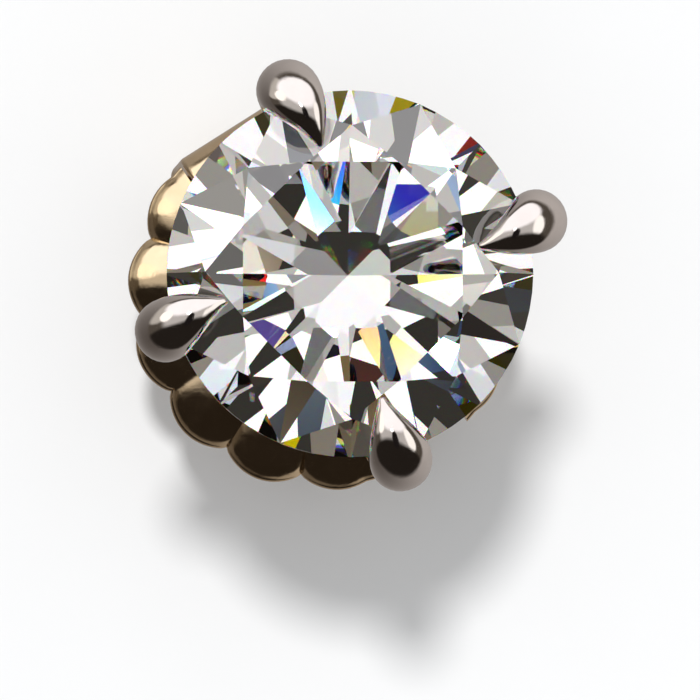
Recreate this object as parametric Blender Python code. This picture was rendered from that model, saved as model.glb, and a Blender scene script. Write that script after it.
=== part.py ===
"""Stud earring: a round brilliant in four claws on a post, standing on its friction nut.

The scene is in metres with +Z up. The origin is on the post's axis, on the surface that the
nut's two scrolls stand on. Lengths below are in millimetres and are scaled to metres last.
"""

import math

import bmesh
import bpy
import numpy as np
from mathutils import Matrix, Vector

MM = 0.001

# Stone: a round brilliant. Heights are measured from the middle of the girdle.
STONE_DIAMETER = 6.5
STONE_RADIUS = STONE_DIAMETER / 2
TABLE_SHARE = 0.645  # corner to corner, of the stone's diameter
STAR_SHARE = 0.50  # how far a star facet reaches from the table's edge to the girdle
LOWER_SHARE = 0.78  # how far a lower half facet reaches from the girdle to the culet
CROWN_ANGLE = math.radians(34.0)
PAVILION_ANGLE = math.radians(40.9)
GIRDLE_THICKNESS = 0.20
GIRDLE_SIDES = 64
MAIN_FACETS = 8

# Setting: four claws, a gallery rail, a base and a post, soldered into one piece.
SEAT_GAP = 0.03  # between the stone and the seat that is cut for it in the claws
RAIL_RADIUS = 2.38
RAIL_HEIGHT = -1.30
RAIL_WIRE = 0.27
BASE_RADIUS = 1.45
BASE_UNDERSIDE = -3.45
BASE_HEIGHT = 0.65
BASE_RIM = 0.32
CUP_DEPTH = 0.21
POST_RADIUS = 0.45
POST_TIP_HEIGHT = 0.32
POST_FILLET = 0.17
NOTCH_DEPTH = 0.06
NOTCH_HALF_LENGTH = 0.30

# Columns: a claw's azimuth and, as each is bent by hand, how far its tip turns from that.
CLAWS = (
    (15.9, -4.5),
    (109.0, -4.5),
    (197.4, -4.2),
    (285.0, -2.0),
)

# A claw's sections, from the base, over the girdle and down to its tip on the crown.
# Columns: distance from the axis, height from the girdle, half width, half thickness,
# share of the tip's turn.
CLAW_SECTIONS = (
    (1.05, -3.15, 0.28, 0.28, 0.0),
    (1.95, -2.10, 0.40, 0.38, 0.0),
    (2.75, -1.00, 0.47, 0.45, 0.0),
    (3.28, -0.20, 0.53, 0.51, 0.0),
    (3.43, 0.22, 0.56, 0.545, 0.0),
    (3.27, 0.58, 0.54, 0.43, 0.1),
    (2.95, 0.76, 0.42, 0.33, 0.4),
    (2.62, 0.80, 0.24, 0.21, 0.75),
    (2.34, 0.79, 0.08, 0.09, 1.0),
)

# Ear nut: one stamped sheet, a fluted plate whose two tongues are rolled into scrolls.
SHEET = 0.36
NUT_AZIMUTH = math.radians(122.5)  # the way the first tongue points
PLATE_TOP = 4.10
PLATE_HOLE = 0.50
HOLE_DIP = 0.10
LOBE_CREST = 3.69
LOBE_VALLEY = 3.41
LOBES_A_SIDE = 6
END_LOBE_BUMP = 0.7  # the rim's least height beside a tongue, as a share of a lobe's
TONGUE_ANGLE = math.radians(29.0)  # the part of the rim that a tongue takes
FLUTES_FROM = 1.9
FLUTE_DEPTH = 0.30
DROOP_FROM = 2.4
DROOP = 0.42
EDGE_ROUNDING = 0.08
FOLD_RADIUS = 0.55  # at the middle of the sheet, as the next one is
CURL_RADIUS = 0.80
TONGUE_ROOT = 1.6
SLIT = 0.05  # on either side of a tongue, where it folds away from the lobes
GRIP_GAP = 0.03  # between each scroll and the post

# Columns: side of the post, distance of the tongue's outer face from the axis.
TONGUES = (
    (1, 3.58),
    (-1, 3.37),
)

# Columns: share of the tongue's length, half its width there.
TONGUE_WIDTHS = (
    (0.00, 0.95),
    (0.22, 0.95),
    (0.39, 1.02),
    (0.50, 1.25),
    (0.61, 1.55),
    (0.82, 1.30),
    (1.00, 0.95),
)

# Where the pieces stand.
LOBE_GAP = 4.30  # between the nut's plate and the head, for the ear lobe
POST_TIP = 0.12
NOTCH_LEVEL = 1.50  # where the scrolls grip the post
GIRDLE_LEVEL = PLATE_TOP + LOBE_GAP - BASE_UNDERSIDE


# ---------------------------------------------------------------- mesh tools


def polar(radius, angle, height=0.0):
    return Vector((radius * math.cos(angle), radius * math.sin(angle), height))


def smooth_step(value):
    value = min(max(value, 0.0), 1.0)
    return value * value * (3 - 2 * value)


def arc(centre, radius, start, end, steps):
    """Points of an arc in a plane, from one angle in degrees to another, both included."""
    angles = np.radians(np.linspace(start, end, steps + 1))
    return [(centre[0] + radius * math.cos(a), centre[1] + radius * math.sin(a)) for a in angles]


def closed_mesh(name, bm):
    """A mesh with outward faces from a bmesh, which is freed."""
    bmesh.ops.recalc_face_normals(bm, faces=bm.faces)
    mesh = bpy.data.meshes.new(name)
    bm.to_mesh(mesh)
    bm.free()
    return mesh


def loft(name, rings, looped=False):
    """Bridges rings of points into a solid: capped at both ends, or looped end to start."""
    bm = bmesh.new()
    rows = [[bm.verts.new(point) for point in ring] for ring in rings]
    pairs = list(zip(rows, rows[1:]))
    if looped:
        pairs.append((rows[-1], rows[0]))
    count = len(rows[0])
    for row, following in pairs:
        for i in range(count):
            j = (i + 1) % count
            bm.faces.new((row[i], row[j], following[j], following[i]))
    if not looped:
        bm.faces.new(rows[0])
        bm.faces.new(rows[-1])
    return closed_mesh(name, bm)


def turned(name, profile, sides):
    """A solid of revolution about Z from (radius, height) rows, capped flat at both ends."""
    angles = [2 * math.pi * i / sides for i in range(sides)]
    return loft(name, [[polar(r, a, z) for a in angles] for r, z in profile])


def through(sections, steps):
    """Rows on a smooth curve through the given rows, with steps between each two of them."""
    rows = np.array(sections)
    padded = np.vstack([2 * rows[0] - rows[1], rows, 2 * rows[-1] - rows[-2]])
    found = []
    for i in range(len(rows) - 1):
        before, start, end, after = padded[i : i + 4]
        for t in np.arange(steps) / steps:
            found.append(
                start
                + 0.5 * t * (end - before)
                + t**2 * (before - 2.5 * start + 2 * end - 0.5 * after)
                + t**3 * (1.5 * (start - end) + 0.5 * (after - before))
            )
    return [*found, rows[-1]]


def combined(name, parts, cutters=()):
    """One solid: the union of the parts, less the cutters. The meshes given are used up."""
    objects = []
    for mesh in (*parts, *cutters):
        objects.append(bpy.data.objects.new(mesh.name, mesh))
        bpy.context.scene.collection.objects.link(objects[-1])
    body = objects[0]
    for other in objects[1:]:
        boolean = body.modifiers.new(other.name, "BOOLEAN")
        boolean.operation = "DIFFERENCE" if other.data in cutters else "UNION"
        boolean.object = other
    evaluated = body.evaluated_get(bpy.context.evaluated_depsgraph_get())
    mesh = bpy.data.meshes.new_from_object(evaluated)
    mesh.name = name
    for obj in objects:
        used = obj.data
        bpy.data.objects.remove(obj)
        bpy.data.meshes.remove(used)
    return mesh


# ---------------------------------------------------------------- stone


def facet_planes():
    """The planes of a round brilliant as (unit normal, a point on it), girdle left out."""
    half_girdle = GIRDLE_THICKNESS / 2
    step = 2 * math.pi / MAIN_FACETS
    table_corner = TABLE_SHARE * STONE_RADIUS
    table_flat = table_corner * math.cos(step / 2)
    table = half_girdle + (STONE_RADIUS - table_corner) * math.tan(CROWN_ANGLE)
    culet = -half_girdle - STONE_RADIUS * math.tan(PAVILION_ANGLE)
    star_reach = table_flat + STAR_SHARE * (STONE_RADIUS - table_flat)
    lower_reach = (1 - LOWER_SHARE) * STONE_RADIUS
    planes = [(Vector((0, 0, 1)), Vector((0, 0, table)))]
    for i in range(MAIN_FACETS):
        star = i * step
        main = star + step / 2

        def on_main(radius, angle, side):
            """A point on a main facet's plane, above the girdle or below it."""
            slope = math.tan(CROWN_ANGLE if side > 0 else PAVILION_ANGLE)
            rise = (STONE_RADIUS - radius * math.cos(step / 2)) * slope
            return polar(radius, angle, side * (half_girdle + rise))

        for side, tip in ((1, star_reach), (-1, lower_reach)):
            point = on_main(tip, star, side)
            level = polar(STONE_RADIUS, main, side * half_girdle)
            end = polar(table_corner, main, table) if side > 0 else Vector((0, 0, culet))
            across = polar(1.0, main + math.pi / 2)
            planes.append((across.cross(end - level).normalized(), level))
            for turn in (-step / 2, step / 2):
                corner = polar(STONE_RADIUS, star + turn, side * half_girdle)
                foot = polar(STONE_RADIUS, star, side * half_girdle)
                planes.append(((corner - point).cross(foot - point).normalized(), point))
        left = polar(table_corner, star - step / 2, table)
        right = polar(table_corner, main, table)
        tip = on_main(star_reach, star, 1)
        planes.append(((left - tip).cross(right - tip).normalized(), tip))
    return [(n if n.dot(p) > 0 else -n, p) for n, p in planes]


def brilliant(name, grown=0.0):
    """A round blank cut by each facet's plane in turn. grown moves every plane outwards."""
    bm = bmesh.new()
    bmesh.ops.create_cone(
        bm,
        cap_ends=True,
        segments=GIRDLE_SIDES,
        radius1=STONE_RADIUS + grown,
        radius2=STONE_RADIUS + grown,
        depth=3 * STONE_RADIUS,
    )
    for normal, point in facet_planes():
        cut = bmesh.ops.bisect_plane(
            bm,
            geom=[*bm.verts, *bm.edges, *bm.faces],
            dist=1e-4,
            plane_co=point + grown * normal,
            plane_no=normal,
            clear_outer=True,
        )
        edges = [item for item in cut["geom_cut"] if isinstance(item, bmesh.types.BMEdge)]
        if edges:
            bmesh.ops.contextual_create(bm, geom=edges)
    bmesh.ops.remove_doubles(bm, verts=bm.verts, dist=2e-3)
    bmesh.ops.dissolve_degenerate(bm, edges=bm.edges, dist=1e-3)
    return closed_mesh(name, bm)


# ---------------------------------------------------------------- setting


def claw(name, azimuth, turn, sides=14, steps=2):
    """A tapering wire that bends over the girdle, swept through its sections."""
    rows = through(CLAW_SECTIONS, steps)
    path = np.array(rows)[:, :2]
    ways = np.gradient(path, axis=0)
    rings = []
    for (out, up, half_width, half_thickness, share), way in zip(rows, ways):
        here = azimuth + share * turn
        way = way / np.linalg.norm(way)
        normal = polar(way[1], here, -way[0])
        across = polar(1.0, here + math.pi / 2)
        centre = polar(out, here, up)
        angles = [2 * math.pi * i / sides for i in range(sides)]
        rings.append(
            [
                centre
                + across * (half_width * math.cos(a))
                + normal * (half_thickness * math.sin(a))
                for a in angles
            ]
        )
    return loft(name, rings)


def rail(name, sides=40, around=10):
    """The gallery rail: a ring of round wire that ties the claws together."""
    wire = arc((RAIL_RADIUS, RAIL_HEIGHT), RAIL_WIRE, 0, 360, around)[:-1]
    azimuths = [2 * math.pi * (i + 0.5) / sides for i in range(sides)]
    return loft(name, [[polar(r, a, z) for r, z in wire] for a in azimuths], looped=True)


def base(name, sides=40, chamfer=0.12):
    """A shallow cup under the culet, which carries the claws and the post."""
    rim = BASE_UNDERSIDE + BASE_HEIGHT
    profile = (
        (BASE_RADIUS - chamfer, BASE_UNDERSIDE),
        (BASE_RADIUS, BASE_UNDERSIDE + chamfer),
        (BASE_RADIUS, rim - chamfer),
        (BASE_RADIUS - chamfer, rim),
        (BASE_RADIUS - BASE_RIM, rim),
        (0.6, rim - CUP_DEPTH + 0.03),
        (0.3, rim - CUP_DEPTH),
    )
    return turned(name, profile, sides)


def post(name, sides=28):
    """The ear post: a round tip, a notch for the nut and a small fillet at the base."""
    tip = POST_TIP - GIRDLE_LEVEL
    notch = NOTCH_LEVEL - GIRDLE_LEVEL
    bottom = POST_RADIUS - NOTCH_DEPTH
    rounding = [
        (POST_RADIUS * math.sin(a), tip + POST_TIP_HEIGHT * (1 - math.cos(a)))
        for a in np.radians((15, 40, 65, 90))
    ]
    fillet = arc(
        (POST_RADIUS + POST_FILLET, BASE_UNDERSIDE - POST_FILLET), POST_FILLET, 180, 90, 3
    )
    profile = [
        *rounding,
        (POST_RADIUS, notch - NOTCH_HALF_LENGTH),
        (bottom, notch - NOTCH_HALF_LENGTH / 2),
        (bottom, notch + NOTCH_HALF_LENGTH / 2),
        (POST_RADIUS, notch + NOTCH_HALF_LENGTH),
        *fillet,
        (POST_RADIUS + POST_FILLET, BASE_UNDERSIDE + 0.2),
    ]
    return turned(name, profile, sides)


def claw_setting():
    claws = [claw(f"claw_{i}", *np.radians(row)) for i, row in enumerate(CLAWS)]
    parts = [base("base"), post("post"), rail("rail"), *claws]
    return combined("claw_setting", parts, [brilliant("seat", SEAT_GAP)])


# ---------------------------------------------------------------- ear nut


def lobe_bump(azimuth):
    """The rim's shape round the plate: 0 in a valley, 1 at a lobe's crest."""
    along = (azimuth % math.pi - TONGUE_ANGLE / 2) / (math.pi - TONGUE_ANGLE) * LOBES_A_SIDE
    if not 0 <= along <= LOBES_A_SIDE:
        return END_LOBE_BUMP
    bump = math.sin(math.pi * (along % 1.0)) ** 0.75
    beside_tongue = along < 0.5 or along > LOBES_A_SIDE - 0.5
    return max(bump, END_LOBE_BUMP) if beside_tongue else bump


def plate_height(radius, azimuth):
    """The plate's upper face: flat, dipped at the hole, and fluted and drooping to its rim."""
    dip = HOLE_DIP * (1 - smooth_step((radius - PLATE_HOLE) / 0.25))
    fade = smooth_step((radius - FLUTES_FROM) / (LOBE_CREST - FLUTES_FROM))
    flute = FLUTE_DEPTH * fade * (1 - lobe_bump(azimuth))
    droop = DROOP * max(0.0, (radius - DROOP_FROM) / (LOBE_CREST - DROOP_FROM)) ** 2
    off_tongue = smooth_step((abs(radius * math.sin(azimuth)) - TONGUE_WIDTHS[0][1]) / 0.3)
    return PLATE_TOP - dip - off_tongue * (flute + droop)


def plate_azimuths(lobe_steps=6, fold_steps=4):
    """Angles round the plate with one at each valley, and fewer where the tongues leave."""
    half = TONGUE_ANGLE / 2
    found = []
    for side in (0.0, math.pi):
        lobes = np.linspace(half, math.pi - half, LOBES_A_SIDE * lobe_steps + 1)
        fold = np.linspace(-half, half, fold_steps + 1)[1:-1]
        found += [side + a for a in (*fold, *lobes)]
    return found


def plate(name):
    """The fluted plate, as a sheet between two faces with its rim's edges rounded off."""
    shares = (0.0, 0.04, 0.10, 0.30, 0.48, 0.62, 0.74, 0.85, 0.94, 1.0)
    rings = []
    for azimuth in plate_azimuths():
        edge = LOBE_VALLEY + (LOBE_CREST - LOBE_VALLEY) * lobe_bump(azimuth)
        spots = [PLATE_HOLE + share * (edge - EDGE_ROUNDING - PLATE_HOLE) for share in shares]
        top = [(r, plate_height(r, azimuth)) for r in spots]
        level = plate_height(edge, azimuth)
        rim = [(edge, level - EDGE_ROUNDING), (edge, level - SHEET + EDGE_ROUNDING)]
        under = [(r, z - SHEET) for r, z in reversed(top)]
        rings.append([polar(r, azimuth, z) for r, z in (*top, *rim, *under)])
    return loft(name, rings, looped=True)


def fold_notch(name, side, reach):
    """What is cut from the plate's rim where a tongue folds down."""
    inner = reach - SHEET / 2 - FOLD_RADIUS + 0.02
    outer = LOBE_CREST + 0.5
    size = ((outer - inner) / 2, TONGUE_WIDTHS[0][1] + SLIT, 1.0)
    bm = bmesh.new()
    bmesh.ops.create_cube(bm, size=2.0)
    bmesh.ops.scale(bm, vec=size, verts=bm.verts)
    bmesh.ops.translate(bm, vec=(side * (inner + outer) / 2, 0, PLATE_TOP), verts=bm.verts)
    return closed_mesh(name, bm)


def tongue_path(reach):
    """The middle of a tongue's sheet, as (distance from the axis, height) points."""
    middle = PLATE_TOP - SHEET / 2
    outer = reach - SHEET / 2
    grip = POST_RADIUS + GRIP_GAP + SHEET / 2
    fold = (outer - FOLD_RADIUS, middle - FOLD_RADIUS)
    scroll_radius = (outer - grip) / 2
    scroll = (outer - scroll_radius, SHEET / 2 + scroll_radius)
    curl = (grip + CURL_RADIUS, scroll[1])
    return [
        (TONGUE_ROOT, middle),
        (fold[0] - 0.3, middle),
        *arc(fold, FOLD_RADIUS, 90, 0, 6),
        (outer, (fold[1] + scroll[1]) / 2),
        *arc(scroll, scroll_radius, 0, -180, 16),
        *arc(curl, CURL_RADIUS, 180, 50, 9)[1:],
    ]


def tongue(name, side, reach, embedded=2, embedded_thinner=0.03):
    """A strip that leaves the plate, folds down and rolls inwards until it grips the post."""
    points = np.array(tongue_path(reach))
    runs = np.linalg.norm(np.diff(points, axis=0), axis=1)
    along = np.concatenate([[0], np.cumsum(runs)]) / runs.sum()
    half_widths = np.interp(along, *np.transpose(TONGUE_WIDTHS))
    ways = np.gradient(points, axis=0)
    ways /= np.linalg.norm(ways, axis=1, keepdims=True)
    rings = []
    for i, ((x, z), (way_x, way_z), wide) in enumerate(zip(points, ways, half_widths)):
        thick = SHEET / 2 - (embedded_thinner if i < embedded else 0.0)
        half = (
            (wide - EDGE_ROUNDING, thick),
            (wide, thick - EDGE_ROUNDING),
            (wide, EDGE_ROUNDING - thick),
            (wide - EDGE_ROUNDING, -thick),
        )
        outline = (*half, *[(-across, up) for across, up in reversed(half)])
        rings.append(
            [Vector((side * (x - way_z * up), side * across, z + way_x * up)) for across, up in outline]
        )
    return loft(name, rings)


def ear_nut():
    notches = [fold_notch("notch", *row) for row in TONGUES]
    tongues = [tongue("tongue", *row) for row in TONGUES]
    return combined("ear_nut", [combined("plate", [plate("blank")], notches), *tongues])


# ---------------------------------------------------------------- assembly


def metal(name, colour, roughness):
    material = bpy.data.materials.new(name)
    material.use_nodes = True
    shader = material.node_tree.nodes["Principled BSDF"]
    shader.inputs["Base Color"].default_value = (*colour, 1.0)
    shader.inputs["Metallic"].default_value = 1.0
    shader.inputs["Roughness"].default_value = roughness
    return material


def gem(name):
    material = bpy.data.materials.new(name)
    material.use_nodes = True
    shader = material.node_tree.nodes["Principled BSDF"]
    shader.inputs["Base Color"].default_value = (0.97, 0.98, 1.0, 1.0)
    shader.inputs["Roughness"].default_value = 0.0
    shader.inputs["IOR"].default_value = 2.417
    shader.inputs["Transmission Weight"].default_value = 1.0
    return material


def piece(name, mesh, material, level=0.0, azimuth=0.0, parent=None, round_within=40.0):
    """Scales a mesh to metres and stands it on the axis as a named object."""
    mesh.name = name
    mesh.transform(Matrix.Scale(MM, 4))
    mesh.materials.clear()
    mesh.materials.append(material)
    if round_within:
        mesh.shade_smooth()
        mesh.set_sharp_from_angle(angle=math.radians(round_within))
    obj = bpy.data.objects.new(name, mesh)
    obj.location.z = level * MM
    obj.rotation_euler.z = azimuth
    obj.parent = parent
    bpy.context.scene.collection.objects.link(obj)
    return obj


def main():
    for obj in list(bpy.data.objects):
        bpy.data.objects.remove(obj)
    white_gold = metal("white_gold", (0.78, 0.76, 0.74), 0.12)
    yellow_gold = metal("yellow_gold", (0.86, 0.66, 0.36), 0.14)
    stud = bpy.data.objects.new("stud", None)
    bpy.context.scene.collection.objects.link(stud)
    piece("stone", brilliant("stone"), gem("diamond"), GIRDLE_LEVEL, parent=stud, round_within=None)
    piece("claw_setting", claw_setting(), white_gold, GIRDLE_LEVEL, parent=stud)
    piece("ear_nut", ear_nut(), yellow_gold, azimuth=NUT_AZIMUTH)


main()
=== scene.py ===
"""Looks for the stud earring: a round brilliant in four claws, standing on its butterfly nut.

Lengths are in millimetres until a piece is placed, and +Z is up. The photograph looks down on
the stone, with +Y at the top of the picture.
"""

import math

import bmesh
import bpy
import numpy as np
from mathutils import Matrix, Vector


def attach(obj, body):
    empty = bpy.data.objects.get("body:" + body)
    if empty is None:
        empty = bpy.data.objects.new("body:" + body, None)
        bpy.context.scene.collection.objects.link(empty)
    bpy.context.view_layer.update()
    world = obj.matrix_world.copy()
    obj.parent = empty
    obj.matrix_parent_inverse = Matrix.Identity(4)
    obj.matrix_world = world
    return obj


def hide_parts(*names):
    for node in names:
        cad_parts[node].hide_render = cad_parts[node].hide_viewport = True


MM = 0.001

# ---------------------------------------------------------------- sizes, as the CAD model has them

GIRDLE_LEVEL = 11.85  # the middle of the stone's girdle
STONE_RADIUS = 3.25
SEAT_GAP = 0.03

CLAWS = ((15.9, -4.5), (109.0, -4.5), (197.4, -4.2), (285.0, -2.0))  # azimuth, turn of the tip

# Distance from the axis, height from the girdle, half width, half thickness, share of the turn.
CLAW_SECTIONS = (
    (1.05, -3.15, 0.28, 0.28, 0.0),
    (1.95, -2.10, 0.40, 0.38, 0.0),
    (2.75, -1.00, 0.47, 0.45, 0.0),
    (3.28, -0.20, 0.53, 0.51, 0.0),
    (3.43, 0.22, 0.56, 0.545, 0.0),
    (3.27, 0.58, 0.54, 0.43, 0.1),
    (2.95, 0.76, 0.42, 0.33, 0.4),
    (2.62, 0.80, 0.24, 0.21, 0.75),
    (2.34, 0.79, 0.08, 0.09, 1.0),
)

RAIL_RADIUS, RAIL_HEIGHT, RAIL_WIRE = 2.38, -1.30, 0.27
BASE_RADIUS, BASE_UNDERSIDE, BASE_HEIGHT = 1.45, -3.45, 0.65
BASE_EDGE, BASE_RIM, CUP_EDGE = 0.12, 0.32, 0.06
CUP = ((0.85, 0.10), (0.6, 0.18), (0.3, 0.21))  # distance from the axis, depth below the rim
POST_RADIUS, POST_TIP, POST_TIP_HEIGHT, POST_FILLET = 0.45, 0.12, 0.32, 0.17
NOTCH_LEVEL, NOTCH_DEPTH, NOTCH_HALF_LENGTH = 1.50, 0.06, 0.30
NOTCH_FLAT = 0.35  # share of the notch's half length that is at its full depth

SHEET = 0.36
NUT_AZIMUTH = math.radians(122.5)
PLATE_TOP, PLATE_HOLE, HOLE_DIP, DIP_WIDTH = 4.10, 0.50, 0.10, 0.25
LOBE_CREST, LOBE_VALLEY, LOBES_A_SIDE, END_LOBE_BUMP = 3.69, 3.41, 6, 0.7
TONGUE_ANGLE = math.radians(29.0)
FLUTES_FROM, FLUTE_DEPTH, DROOP_FROM, DROOP = 1.9, 0.30, 2.4, 0.42
# Part of the rim is pressed flatter than in the CAD model: where, how wide, and how much of the
# flutes' depth it loses and how much more it droops, as shares.
PRESSED_AT, PRESSED_WIDTH = math.radians(94.0), math.radians(17.0)
FLUTES_LOST, DROOP_GAINED = 0.7, 0.2
EDGE_ROUNDING = 0.08
FOLD_RADIUS, CURL_RADIUS, TONGUE_ROOT, SLIT, GRIP_GAP = 0.55, 0.80, 1.6, 0.05, 0.03
# Half the width that stays flat where a tongue leaves the plate, and the blend beside it.
TONGUE_FLAT, TONGUE_BLEND = 0.70, 0.30
TONGUES = ((1, 3.58), (-1, 3.37))  # side of the post, distance of the outer face
TONGUE_WIDTHS = (  # share of the tongue's length, half its width there
    (0.00, 0.95),
    (0.22, 0.95),
    (0.39, 1.02),
    (0.50, 1.25),
    (0.61, 1.55),
    (0.82, 1.30),
    (1.00, 0.95),
)

DEGENERATE = 2e-4  # edges and faces smaller than this are left out of a solid

# ---------------------------------------------------------------- mesh tools


def polar(radius, angle, height=0.0):
    return Vector((radius * math.cos(angle), radius * math.sin(angle), height))


def smooth_step(value):
    value = min(max(value, 0.0), 1.0)
    return value * value * (3 - 2 * value)


def arc(centre, radius, start, end, steps):
    """Points of an arc in a plane, from one angle in degrees to another, both included."""
    angles = np.radians(np.linspace(start, end, steps + 1))
    return [(centre[0] + radius * math.cos(a), centre[1] + radius * math.sin(a)) for a in angles]


def closed_mesh(name, bm):
    """A mesh with outward faces from a bmesh, which is freed."""
    bmesh.ops.recalc_face_normals(bm, faces=bm.faces)
    mesh = bpy.data.meshes.new(name)
    bm.to_mesh(mesh)
    bm.free()
    return mesh


def loft(name, rings, looped=False):
    """Bridges rings of points into a solid: capped at both ends, or looped end to start."""
    bm = bmesh.new()
    rows = [[bm.verts.new(point) for point in ring] for ring in rings]
    pairs = list(zip(rows, rows[1:]))
    if looped:
        pairs.append((rows[-1], rows[0]))
    count = len(rows[0])
    for row, following in pairs:
        for i in range(count):
            j = (i + 1) % count
            bm.faces.new((row[i], row[j], following[j], following[i]))
    if not looped:
        bm.faces.new(rows[0])
        bm.faces.new(rows[-1])
    return closed_mesh(name, bm)


def turned(name, profile, sides):
    """A solid of revolution about Z from (radius, height) rows, capped flat at both ends."""
    angles = [2 * math.pi * i / sides for i in range(sides)]
    return loft(name, [[polar(r, a, z) for a in angles] for r, z in profile])


def through(sections, steps):
    """Rows on a smooth curve through the given rows, with steps between each two of them."""
    rows = np.array(sections)
    padded = np.vstack([2 * rows[0] - rows[1], rows, 2 * rows[-1] - rows[-2]])
    found = []
    for i in range(len(rows) - 1):
        before, start, end, after = padded[i : i + 4]
        for t in np.arange(steps) / steps:
            found.append(
                start
                + 0.5 * t * (end - before)
                + t**2 * (before - 2.5 * start + 2 * end - 0.5 * after)
                + t**3 * (1.5 * (start - end) + 0.5 * (after - before))
            )
    return [*found, rows[-1]]


def without_slivers(bm):
    """Takes out faces of no size, and pairs of triangles that are folded flat on each other."""
    bmesh.ops.dissolve_degenerate(bm, edges=bm.edges, dist=DEGENERATE)
    bmesh.ops.triangulate(bm, faces=bm.faces)
    sharing = {}
    for face in bm.faces:
        sharing.setdefault(frozenset(face.verts), []).append(face)
    folded = [face for faces in sharing.values() if len(faces) > 1 for face in faces]
    bmesh.ops.delete(bm, geom=folded, context="FACES")


def combined(name, parts, cutters=()):
    """One solid: the union of the parts, less the cutters. The meshes given are used up."""
    objects = []
    for mesh in (*parts, *cutters):
        objects.append(bpy.data.objects.new(mesh.name, mesh))
        bpy.context.scene.collection.objects.link(objects[-1])
    body = objects[0]
    for other in objects[1:]:
        boolean = body.modifiers.new(other.name, "BOOLEAN")
        boolean.operation = "DIFFERENCE" if other.data in cutters else "UNION"
        boolean.object = other
    bm = bmesh.new()
    bm.from_object(body, bpy.context.evaluated_depsgraph_get())
    without_slivers(bm)
    mesh = closed_mesh(name, bm)
    for obj in objects:
        used = obj.data
        bpy.data.objects.remove(obj)
        bpy.data.meshes.remove(used)
    return mesh


def placed(name, mesh, level, azimuth, material, body, node, sharp_from=35.0):
    """Stands a mesh on the axis, in metres, as a piece that replaces a CAD node."""
    mesh.name = name
    turn = Matrix.Rotation(azimuth, 4, "Z")
    mesh.transform(Matrix.Scale(MM, 4) @ Matrix.Translation((0, 0, level)) @ turn)
    mesh.materials.clear()
    mesh.materials.append(material)
    mesh.shade_smooth()
    mesh.set_sharp_from_angle(angle=math.radians(sharp_from))
    obj = bpy.data.objects.new(name, mesh)
    bpy.context.scene.collection.objects.link(obj)
    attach(obj, body)
    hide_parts(node)
    return obj


# ---------------------------------------------------------------- setting


def seat(name, stone):
    """The room cut for the stone: its own facets, each moved outwards by the seat's gap."""
    facets = {}
    for face in stone.data.polygons:
        normal = face.normal
        point = stone.data.vertices[face.vertices[0]].co / MM - Vector((0, 0, GIRDLE_LEVEL))
        facets[tuple(round(x, 3) for x in normal)] = (normal.copy(), point)
    bm = bmesh.new()
    bmesh.ops.create_cube(bm, size=4 * STONE_RADIUS)
    for normal, point in facets.values():
        cut = bmesh.ops.bisect_plane(
            bm,
            geom=[*bm.verts, *bm.edges, *bm.faces],
            dist=1e-4,
            plane_co=point + SEAT_GAP * normal,
            plane_no=normal,
            clear_outer=True,
        )
        edges = [item for item in cut["geom_cut"] if isinstance(item, bmesh.types.BMEdge)]
        if edges:
            bmesh.ops.contextual_create(bm, geom=edges)
    bmesh.ops.remove_doubles(bm, verts=bm.verts, dist=2e-3)
    corners = [vertex.co.copy() for vertex in bm.verts]
    bm.clear()
    bmesh.ops.convex_hull(bm, input=[bm.verts.new(corner) for corner in corners])
    loose = [vertex for vertex in bm.verts if not vertex.link_faces]
    bmesh.ops.delete(bm, geom=loose, context="VERTS")
    return closed_mesh(name, bm)


def claw(name, azimuth, turn, sides=32, steps=7):
    """A tapering wire that bends over the girdle, swept through its sections to a round tip."""
    rows = through(CLAW_SECTIONS, steps)
    last = rows[-1]
    ahead = (last[:2] - rows[-2][:2]) / np.linalg.norm(last[:2] - rows[-2][:2])
    for a in np.radians((30, 55, 75, 87)):
        tip = last.copy()
        tip[:2] += ahead * last[2] * math.sin(a)
        tip[2:4] *= math.cos(a)
        rows.append(tip)
    path = np.array(rows)[:, :2]
    ways = np.gradient(path, axis=0)
    rings = []
    for (out, up, half_width, half_thickness, share), way in zip(rows, ways):
        here = azimuth + share * turn
        way = way / np.linalg.norm(way)
        normal = polar(way[1], here, -way[0])
        across = polar(1.0, here + math.pi / 2)
        centre = polar(out, here, up)
        angles = [2 * math.pi * i / sides for i in range(sides)]
        rings.append(
            [
                centre
                + across * (half_width * math.cos(a))
                + normal * (half_thickness * math.sin(a))
                for a in angles
            ]
        )
    return loft(name, rings)


def rail(name, sides=144, around=20):
    """The gallery rail: a ring of round wire that ties the claws together."""
    wire = arc((RAIL_RADIUS, RAIL_HEIGHT), RAIL_WIRE, 0, 360, around)[:-1]
    azimuths = [2 * math.pi * (i + 0.5) / sides for i in range(sides)]
    return loft(name, [[polar(r, a, z) for r, z in wire] for a in azimuths], looped=True)


def base(name, sides=96):
    """A shallow cup under the culet, which carries the claws and the post."""
    rim = BASE_UNDERSIDE + BASE_HEIGHT
    outer = BASE_RADIUS - BASE_EDGE
    inner = BASE_RADIUS - BASE_RIM
    profile = (
        *arc((outer, BASE_UNDERSIDE + BASE_EDGE), BASE_EDGE, -90, 0, 5),
        *arc((outer, rim - BASE_EDGE), BASE_EDGE, 0, 90, 5),
        *arc((inner + CUP_EDGE, rim - CUP_EDGE), CUP_EDGE, 90, 150, 3),
        *[(radius, rim - depth) for radius, depth in CUP],
    )
    return turned(name, profile, sides)


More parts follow.
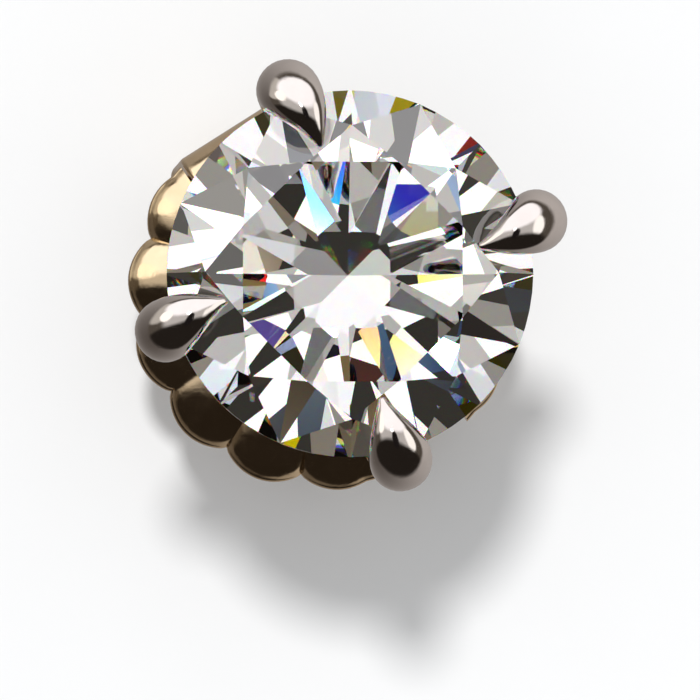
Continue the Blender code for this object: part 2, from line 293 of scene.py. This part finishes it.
def post(name, sides=56):
    """The ear post: a round tip, a turned notch for the nut and a small fillet at the base."""
    tip = POST_TIP - GIRDLE_LEVEL
    notch = NOTCH_LEVEL - GIRDLE_LEVEL
    rounding = [
        (POST_RADIUS * math.sin(a), tip + POST_TIP_HEIGHT * (1 - math.cos(a)))
        for a in np.radians((8, 20, 32, 44, 56, 68, 79, 90))
    ]
    groove = [
        (
            POST_RADIUS
            - NOTCH_DEPTH * (1 - smooth_step((abs(t) - NOTCH_FLAT) / (1 - NOTCH_FLAT))),
            notch + t * NOTCH_HALF_LENGTH,
        )
        for t in np.linspace(-1, 1, 17)
    ]
    fillet = arc(
        (POST_RADIUS + POST_FILLET, BASE_UNDERSIDE - POST_FILLET), POST_FILLET, 180, 90, 8
    )
    profile = [*rounding, *groove, *fillet, (POST_RADIUS + POST_FILLET, BASE_UNDERSIDE + 0.2)]
    return turned(name, profile, sides)


def setting(stone):
    claws = [claw(f"claw_{i}", *np.radians(row)) for i, row in enumerate(CLAWS)]
    parts = [base("base"), post("post"), rail("rail"), *claws]
    return combined("setting", parts, [seat("seat", stone)])


# ---------------------------------------------------------------- ear nut


def lobe_bump(azimuth):
    """The rim's shape round the plate: 0 in a valley, 1 at a lobe's crest."""
    along = (azimuth % math.pi - TONGUE_ANGLE / 2) / (math.pi - TONGUE_ANGLE) * LOBES_A_SIDE
    if not 0 <= along <= LOBES_A_SIDE:
        return END_LOBE_BUMP
    bump = math.sin(math.pi * (along % 1.0)) ** 0.75
    beside_tongue = along < 0.5 or along > LOBES_A_SIDE - 0.5
    return max(bump, END_LOBE_BUMP) if beside_tongue else bump


def plate_height(radius, azimuth):
    """The plate's upper face: flat, dipped at the hole, and fluted and drooping to its rim."""
    dip = HOLE_DIP * (1 - smooth_step((radius - PLATE_HOLE) / DIP_WIDTH))
    fade = smooth_step((radius - FLUTES_FROM) / (LOBE_CREST - FLUTES_FROM))
    pressed = math.exp(-(((azimuth - PRESSED_AT) / PRESSED_WIDTH) ** 2))
    flute = FLUTE_DEPTH * (1 - FLUTES_LOST * pressed) * fade * (1 - lobe_bump(azimuth))
    past = max(0.0, (radius - DROOP_FROM) / (LOBE_CREST - DROOP_FROM))
    droop = DROOP * (1 + DROOP_GAINED * pressed) * past**2
    beside = abs(radius * math.sin(azimuth)) - TONGUE_FLAT
    off_tongue = smooth_step(beside / TONGUE_BLEND)
    return PLATE_TOP - dip - off_tongue * (flute + droop)


def plate_azimuths(lobe_steps=20, fold_steps=12):
    """Angles round the plate with one at each valley, and fewer where the tongues leave."""
    half = TONGUE_ANGLE / 2
    found = []
    for side in (0.0, math.pi):
        lobes = np.linspace(half, math.pi - half, LOBES_A_SIDE * lobe_steps + 1)
        fold = np.linspace(-half, half, fold_steps + 1)[1:-1]
        found += [side + a for a in (*fold, *lobes)]
    return found


def plate(name):
    """The fluted plate, as a sheet between two faces with its rim's edges rounded off."""
    shares = (0.0, 0.015, 0.035, 0.06, 0.09, 0.13, 0.20, 0.30, *np.linspace(0.4, 1.0, 15))
    rings = []
    for azimuth in plate_azimuths():
        edge = LOBE_VALLEY + (LOBE_CREST - LOBE_VALLEY) * lobe_bump(azimuth)
        spots = [PLATE_HOLE + share * (edge - EDGE_ROUNDING - PLATE_HOLE) for share in shares]
        top = [(r, plate_height(r, azimuth)) for r in spots]
        level = plate_height(edge, azimuth)
        inside = edge - EDGE_ROUNDING
        rim = [
            *arc((inside, level - EDGE_ROUNDING), EDGE_ROUNDING, 70, 0, 4),
            *arc((inside, level - SHEET + EDGE_ROUNDING), EDGE_ROUNDING, 0, -70, 4),
        ]
        under = [(r, z - SHEET) for r, z in reversed(top)]
        rings.append([polar(r, azimuth, z) for r, z in (*top, *rim, *under)])
    return loft(name, rings, looped=True)


def fold_notch(name, side, reach):
    """What is cut from the plate's rim where a tongue folds down."""
    inner = reach - SHEET / 2 - FOLD_RADIUS + 0.02
    outer = LOBE_CREST + 0.5
    half_size = ((outer - inner) / 2, TONGUE_WIDTHS[0][1] + SLIT, 1.0)
    bm = bmesh.new()
    bmesh.ops.create_cube(bm, size=2.0)
    bmesh.ops.scale(bm, vec=half_size, verts=bm.verts)
    bmesh.ops.translate(bm, vec=(side * (inner + outer) / 2, 0, PLATE_TOP), verts=bm.verts)
    return closed_mesh(name, bm)


def tongue_path(reach):
    """The middle of a tongue's sheet, as (distance from the axis, height) points."""
    middle = PLATE_TOP - SHEET / 2
    outer = reach - SHEET / 2
    grip = POST_RADIUS + GRIP_GAP + SHEET / 2
    fold = (outer - FOLD_RADIUS, middle - FOLD_RADIUS)
    scroll_radius = (outer - grip) / 2
    scroll = (outer - scroll_radius, SHEET / 2 + scroll_radius)
    curl = (grip + CURL_RADIUS, scroll[1])
    return [
        (TONGUE_ROOT, middle),
        (fold[0] - 0.3, middle),
        *arc(fold, FOLD_RADIUS, 90, 0, 14),
        (outer, (fold[1] + scroll[1]) / 2),
        *arc(scroll, scroll_radius, 0, -180, 44),
        *arc(curl, CURL_RADIUS, 180, 50, 26)[1:],
    ]


def tongue(name, side, reach, embedded=2, embedded_thinner=0.03):
    """A strip that leaves the plate, folds down and rolls inwards until it grips the post."""
    points = np.array(tongue_path(reach))
    runs = np.linalg.norm(np.diff(points, axis=0), axis=1)
    along = np.concatenate([[0], np.cumsum(runs)]) / runs.sum()
    half_widths = np.interp(along, *np.transpose(TONGUE_WIDTHS))
    ways = np.gradient(points, axis=0)
    ways /= np.linalg.norm(ways, axis=1, keepdims=True)
    rings = []
    r = EDGE_ROUNDING
    for i, ((x, z), (way_x, way_z), wide) in enumerate(zip(points, ways, half_widths)):
        thick = SHEET / 2 - (embedded_thinner if i < embedded else 0.0)
        half = [
            *arc((wide - r, thick - r), r, 90, 0, 4),
            *arc((wide - r, r - thick), r, 0, -90, 4),
        ]
        across = np.linspace(-(wide - r), wide - r, 8)[1:-1]
        outline = (
            *half,
            *[(a, -thick) for a in reversed(across)],
            *[(-a, up) for a, up in reversed(half)],
            *[(a, thick) for a in across],
        )
        rings.append(
            [Vector((side * (x - way_z * up), side * a, z + way_x * up)) for a, up in outline]
        )
    return loft(name, rings)


def ear_nut():
    notches = [fold_notch("notch", *row) for row in TONGUES]
    tongues = [tongue("tongue", *row) for row in TONGUES]
    return combined("nut", [combined("plate", [plate("blank")], notches), *tongues])


# ---------------------------------------------------------------- materials


def new_material(name):
    material = bpy.data.materials.new(name)
    material.use_nodes = True
    tree = material.node_tree
    tree.nodes.clear()
    return material, tree


def node(tree, kind, inputs=None, **settings):
    """A node with its settings, and its inputs set to values or linked to outputs."""
    made = tree.nodes.new(kind)
    for key, value in settings.items():
        setattr(made, key, value)
    for key, value in (inputs or {}).items():
        if isinstance(value, bpy.types.NodeSocket):
            tree.links.new(value, made.inputs[key])
        else:
            made.inputs[key].default_value = value
    return made


def remapped(tree, value, start, end, low=0.0, high=1.0, **settings):
    """The value, with the range from start to end moved to low to high and held there."""
    ranges = {"From Min": start, "From Max": end, "To Min": low, "To Max": high}
    made = node(tree, "ShaderNodeMapRange", {"Value": value, **ranges}, **settings)
    return made.outputs["Result"]


def noise(tree, place, scale, detail, **more):
    inputs = {"Vector": place, "Scale": scale, "Detail": detail, **more}
    return node(tree, "ShaderNodeTexNoise", inputs).outputs["Fac"]


def blended(tree, share, first, second):
    """The first colour where share is 0, the second where it is 1."""
    made = node(tree, "ShaderNodeMix", {0: share, 6: first, 7: second}, data_type="RGBA")
    return made.outputs[2]


def computed(tree, operation, first, second, **settings):
    made = node(tree, "ShaderNodeMath", {0: first, 1: second}, operation=operation, **settings)
    return made.outputs[0]


# Two sets of scratches that cross: how the noise is turned, and its scale along each axis.
SCRATCHES = (
    ((0.3, 0.5, 0.2), (2600, 40000, 9000)),
    ((1.1, 0.2, 1.9), (30000, 3000, 12000)),
)
SCRATCH_DEPTH, PIT_DEPTH = 2e-6, 4e-5  # metres, at a strength of 1


def polished_metal(name, colour, dull_colour, roughness, scratches, pits):
    """Polished gold: a little cloudy in places, with fine handling scratches and small pits."""
    material, tree = new_material(name)
    place = node(tree, "ShaderNodeTexCoord").outputs["Object"]
    cloud = noise(tree, place, 900.0, 4.0, Roughness=0.6)
    dullness = remapped(tree, cloud, 0.35, 0.7)
    tint = blended(tree, dullness, (*colour, 1.0), (*dull_colour, 1.0))
    fine = noise(tree, place, 5200.0, 3.0, Roughness=0.55)
    rough = remapped(tree, fine, 0.3, 0.75, *roughness)
    height = None
    for turn, stretch in SCRATCHES:
        lined = {"Vector": place, "Rotation": turn, "Scale": stretch}
        along = node(tree, "ShaderNodeMapping", lined).outputs["Vector"]
        cut = remapped(tree, noise(tree, along, 1.0, 2.0, Distortion=0.2), 0.64, 0.72, 1.0, 0.0)
        height = cut if height is None else computed(tree, "MINIMUM", height, cut)
    scored = node(
        tree,
        "ShaderNodeBump",
        {"Height": height, "Strength": scratches, "Distance": SCRATCH_DEPTH},
    ).outputs["Normal"]
    pitted = node(
        tree,
        "ShaderNodeBump",
        {"Height": cloud, "Strength": pits, "Distance": PIT_DEPTH, "Normal": scored},
    ).outputs["Normal"]
    shader = node(
        tree,
        "ShaderNodeBsdfPrincipled",
        {"Base Color": tint, "Metallic": 1.0, "Roughness": rough, "Normal": pitted},
    )
    out = node(tree, "ShaderNodeOutputMaterial")
    tree.links.new(shader.outputs["BSDF"], out.inputs["Surface"])
    return material


def diamond(name, red=2.392, green=2.417, blue=2.450):
    """A cut diamond: mirrors inside past its critical angle, and splits colours on the way out.

    What all colours mirror is one plain mirror, so that a ray only splits where it leaves.
    """
    material, tree = new_material(name)

    def mixed(share, first, second):
        made = node(tree, "ShaderNodeMixShader", {0: share})
        tree.links.new(first.outputs[0], made.inputs[1])
        tree.links.new(second.outputs[0], made.inputs[2])
        return made

    def added(first, second):
        made = node(tree, "ShaderNodeAddShader")
        tree.links.new(first.outputs[0], made.inputs[0])
        tree.links.new(second.outputs[0], made.inputs[1])
        return made

    def mirrored(ior):
        return node(tree, "ShaderNodeFresnel", {"IOR": ior}).outputs[0]

    white, least = (1.0, 1.0, 1.0, 1.0), mirrored(red)
    rest = computed(tree, "SUBTRACT", 1.0001, least)
    split = None
    for channel, ior in enumerate((red, green, blue)):
        colour = [0.0, 0.0, 0.0, 1.0]
        colour[channel] = 1.0
        leaves = node(
            tree, "ShaderNodeBsdfRefraction", {"Color": colour, "Roughness": 0.0, "IOR": ior}
        )
        if ior != red:
            more = computed(tree, "SUBTRACT", mirrored(ior), least)
            share = computed(tree, "DIVIDE", more, rest, use_clamp=True)
            stays = node(
                tree, "ShaderNodeBsdfAnisotropic", {"Color": colour, "Roughness": 0.0}
            )
            leaves = mixed(share, leaves, stays)
        split = leaves if split is None else added(split, leaves)
    enters = node(
        tree, "ShaderNodeBsdfRefraction", {"Color": white, "Roughness": 0.0, "IOR": green}
    )
    inside = node(tree, "ShaderNodeNewGeometry").outputs["Backfacing"]
    mirror = node(tree, "ShaderNodeBsdfAnisotropic", {"Color": white, "Roughness": 0.0})
    whole = mixed(least, mixed(inside, enters, split), mirror)
    out = node(tree, "ShaderNodeOutputMaterial")
    tree.links.new(whole.outputs[0], out.inputs["Surface"])
    return material


def floor_material(name):
    """Matt white, with a faint grain."""
    material, tree = new_material(name)
    place = node(tree, "ShaderNodeTexCoord").outputs["Object"]
    tone = remapped(tree, noise(tree, place, 300.0, 3.0), 0.3, 0.7, 0.855, 0.865)
    shader = node(
        tree,
        "ShaderNodeBsdfPrincipled",
        {"Base Color": tone, "Roughness": 0.9, "Specular IOR Level": 0.1},
    )
    out = node(tree, "ShaderNodeOutputMaterial")
    tree.links.new(shader.outputs["BSDF"], out.inputs["Surface"])
    return material


# ---------------------------------------------------------------- studio


def direction(azimuth, off_zenith):
    """A unit vector. Azimuth 0 is +X and 90 is +Y; both angles are in degrees."""
    a, t = math.radians(azimuth), math.radians(off_zenith)
    return Vector((math.sin(t) * math.cos(a), math.sin(t) * math.sin(a), math.cos(t)))


# What polished surfaces mirror: soft lamps on a flattened sky, whose middle is the zenith and
# whose rim, at a distance of 1, is the horizon. +Y is up. Each has its middle, half its width
# and height, how soft its edge is, and its colour. A later one covers an earlier one.
LAMPS = (
    (0.00, 0.10, 0.60, 0.50, 0.20, (0.64, 0.62, 0.60)),  # the pale ceiling
    (-0.80, 0.45, 0.42, 0.42, 0.12, (0.62, 0.59, 0.54)),  # the light wall on the left
    (-0.02, 0.48, 0.58, 0.38, 0.15, (1.44, 1.42, 1.45)),  # large panel past the picture's top
    (-0.54, 0.20, 0.18, 0.17, 0.15, (1.60, 1.53, 1.44)),  # left panel
    (0.52, 0.05, 0.16, 0.28, 0.20, (1.46, 1.43, 1.38)),  # right panel
    (-0.10, -0.56, 1.00, 0.48, 0.12, (0.020, 0.016, 0.013)),  # the dark end of the room
    (0.03, -0.06, 0.09, 0.16, 0.15, (0.015, 0.012, 0.012)),  # the camera on its arm
    (-0.038, 0.109, 0.035, 0.035, 0.15, (6.0, 6.0, 6.0)),  # the key lamp
)
ROOM = (0.10, 0.085, 0.07)

# Smaller things round the table. Only the light that leaves the stone meets them: its facets
# pick them out one by one, where the plain metal would show each as a spot.
PALE, BRIGHT, DIM = (0.40, 0.38, 0.35), (1.60, 1.57, 1.53), (0.045, 0.042, 0.036)
CLUTTER = (
    (-0.10, -0.56, 1.00, 0.48, 0.12, DIM),
    (0.00, -0.16, 0.34, 0.14, 0.20, PALE),
    (-0.05, 0.05, 0.05, 0.05, 0.15, BRIGHT),
    (0.05, -0.06, 0.05, 0.05, 0.15, BRIGHT),
    (0.06, -0.24, 0.05, 0.05, 0.15, BRIGHT),
    (0.17, -0.14, 0.07, 0.08, 0.20, BRIGHT),
    (-0.16, -0.28, 0.06, 0.09, 0.15, BRIGHT),
    (-0.48, -0.16, 0.07, 0.08, 0.20, (0.90, 0.86, 0.80)),
    (0.12, 0.19, 0.11, 0.09, 0.20, (0.70, 0.67, 0.64)),
    (0.06, 0.06, 0.06, 0.05, 0.15, DIM),
    (-0.25, 0.03, 0.05, 0.05, 0.15, DIM),
    (-0.14, -0.04, 0.06, 0.07, 0.20, DIM),
    (-0.04, -0.16, 0.05, 0.06, 0.20, DIM),
    (-0.02, 0.185, 0.13, 0.035, 0.15, DIM),
    (-0.02, 0.30, 0.07, 0.06, 0.15, DIM),
    (0.28, -0.02, 0.06, 0.10, 0.20, DIM),
    (0.15, -0.25, 0.04, 0.05, 0.20, DIM),
    (-0.14, -0.16, 0.05, 0.05, 0.20, DIM),
)

# What metal mirrors of the table top: light towards this azimuth, and shaded away from it.
TABLE_LIT_TOWARDS = 30.0
TABLE_LIGHT, TABLE_SHADED = (0.61, 0.575, 0.55), (0.11, 0.095, 0.085)
AMBIENT = (0.61, 0.62, 0.63)  # falls on the floor from all sides
BACKDROP = (1.0, 1.0, 1.0)


def lit(tree, sky, light, lamps):
    """Light, with each lamp laid over it in turn where the place on the flattened sky is in it."""
    for x, y, half_width, half_height, edge, colour in lamps:
        off = node(tree, "ShaderNodeVectorMath", {0: sky, 1: (x, y, 0)}, operation="SUBTRACT")
        scaled = node(
            tree,
            "ShaderNodeVectorMath",
            {0: off.outputs[0], 1: (1 / half_width, 1 / half_height, 0)},
            operation="MULTIPLY",
        )
        reach = node(tree, "ShaderNodeVectorMath", {0: scaled.outputs[0]}, operation="LENGTH")
        share = remapped(
            tree,
            reach.outputs["Value"],
            1 + edge,
            1 - edge,
            interpolation_type="SMOOTHSTEP",
        )
        light = blended(tree, share, light, (*colour, 1))
    return light


def table_top(tree, way):
    """The table as metal mirrors it, lighter on the side where the light comes in."""
    towards_light = node(
        tree,
        "ShaderNodeVectorMath",
        {0: way, 1: direction(TABLE_LIT_TOWARDS, 90.0)},
        operation="DOT_PRODUCT",
    ).outputs["Value"]
    share = remapped(tree, towards_light, -1.0, 1.0)
    return blended(tree, share, (*TABLE_SHADED, 1), (*TABLE_LIGHT, 1))


def studio_world():
    """A room with soft panels to mirror, even light for the floor and a pale backdrop."""
    world = bpy.data.worlds.new("studio")
    bpy.context.scene.world = world
    world.cycles.sampling_method = "NONE"
    world.use_nodes = True
    tree = world.node_tree
    tree.nodes.clear()

    way = node(tree, "ShaderNodeTexCoord").outputs["Generated"]
    parts = node(tree, "ShaderNodeSeparateXYZ", {0: way}).outputs
    above = computed(tree, "ADD", parts["Z"], 1.001)
    flat = {i: computed(tree, "DIVIDE", parts[axis], above) for i, axis in enumerate("XY")}
    sky = node(tree, "ShaderNodeCombineXYZ", flat).outputs[0]
    ray = node(tree, "ShaderNodeLightPath").outputs

    mirrored = lit(tree, sky, (*ROOM, 1), LAMPS)
    through_stone = lit(tree, sky, mirrored, CLUTTER)
    light = blended(tree, ray["Is Transmission Ray"], mirrored, through_stone)
    under = remapped(tree, parts["Z"], 0.05, -0.15, interpolation_type="SMOOTHSTEP")
    light = blended(tree, under, light, table_top(tree, way))
    light = blended(tree, ray["Is Diffuse Ray"], light, (*AMBIENT, 1))
    light = blended(tree, ray["Is Camera Ray"], light, (*BACKDROP, 1))
    background = node(tree, "ShaderNodeBackground", {"Color": light, "Strength": 1.0})
    out = node(tree, "ShaderNodeOutputWorld")
    tree.links.new(background.outputs[0], out.inputs["Surface"])


KEY_AZIMUTH, KEY_OFF_ZENITH, KEY_WIDTH = 109.5, 15.0, 6.0  # degrees
KEY_STRENGTH = 1.85
FLOOR_RADIUS = 0.8  # metres


def key_light():
    """The small strong light that throws the shadow, too far away to fade across the floor."""
    lamp = bpy.data.lights.new("key", "SUN")
    lamp.energy = KEY_STRENGTH
    lamp.angle = math.radians(KEY_WIDTH)
    obj = bpy.data.objects.new("key", lamp)
    obj.rotation_euler = direction(KEY_AZIMUTH, KEY_OFF_ZENITH).to_track_quat("Z", "Y").to_euler()
    obj.visible_camera = obj.visible_glossy = obj.visible_transmission = False
    bpy.context.scene.collection.objects.link(obj)


def floor():
    bm = bmesh.new()
    bmesh.ops.create_circle(bm, cap_ends=True, segments=96, radius=FLOOR_RADIUS)
    mesh = bpy.data.meshes.new("floor")
    bm.to_mesh(mesh)
    bm.free()
    obj = bpy.data.objects.new("floor", mesh)
    mesh.materials.append(floor_material("floor_white"))
    obj.visible_glossy = False
    bpy.context.scene.collection.objects.link(obj)


CAMERA_AZIMUTH, CAMERA_ELEVATION = -51.9, 85.7
CAMERA_DISTANCE = 136.0
FRAME_WIDTH = 12.4  # of the picture, at the girdle's level
FRAME_DROP = 1.35  # from the stone's middle down to the picture's
SENSOR = 36.0


def camera():
    """Looks down on the stone from the photograph's angle, with +Y at the top."""
    a, e = math.radians(CAMERA_AZIMUTH), math.radians(CAMERA_ELEVATION)
    back = Vector((math.sin(a) * math.cos(e), -math.cos(a) * math.cos(e), math.sin(e)))
    right = Vector((0, 1, 0)).cross(back).normalized()
    place = back * CAMERA_DISTANCE
    aim = (place + back.cross(right) * FRAME_DROP).normalized()
    rotation = Matrix((right, aim.cross(right), aim)).transposed().to_4x4()
    data = bpy.data.cameras.new("camera")
    data.sensor_width = SENSOR
    data.lens = SENSOR * CAMERA_DISTANCE / FRAME_WIDTH
    data.clip_start, data.clip_end = 0.01, 2.0
    obj = bpy.data.objects.new("camera", data)
    obj.matrix_world = (
        Matrix.Translation((place + Vector((0, 0, GIRDLE_LEVEL))) * MM) @ rotation
    )
    bpy.context.scene.collection.objects.link(obj)
    bpy.context.scene.camera = obj


# ---------------------------------------------------------------- the scene

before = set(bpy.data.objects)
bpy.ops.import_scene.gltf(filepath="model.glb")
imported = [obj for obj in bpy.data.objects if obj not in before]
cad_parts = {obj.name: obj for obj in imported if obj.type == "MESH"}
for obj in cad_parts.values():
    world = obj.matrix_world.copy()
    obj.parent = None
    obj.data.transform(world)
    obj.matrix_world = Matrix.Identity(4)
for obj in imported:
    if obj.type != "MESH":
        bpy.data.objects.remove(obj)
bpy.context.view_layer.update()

white_gold = polished_metal(
    "white_gold",
    colour=(0.76, 0.71, 0.68),
    dull_colour=(0.68, 0.63, 0.60),
    roughness=(0.05, 0.12),
    scratches=0.1,
    pits=0.15,
)
yellow_gold = polished_metal(
    "yellow_gold",
    colour=(0.88, 0.70, 0.47),
    dull_colour=(0.78, 0.60, 0.38),
    roughness=(0.08, 0.20),
    scratches=0.1,
    pits=0.4,
)

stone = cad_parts["stone"]
for slot in stone.material_slots:
    slot.material = diamond("diamond")
placed(
    "setting", setting(stone), GIRDLE_LEVEL, 0.0, white_gold, "stud", "claw_setting"
)
placed("nut", ear_nut(), 0.0, NUT_AZIMUTH, yellow_gold, "ear_nut", "ear_nut")

studio_world()
key_light()
floor()
camera()
bpy.context.scene.view_settings.view_transform = "Standard"
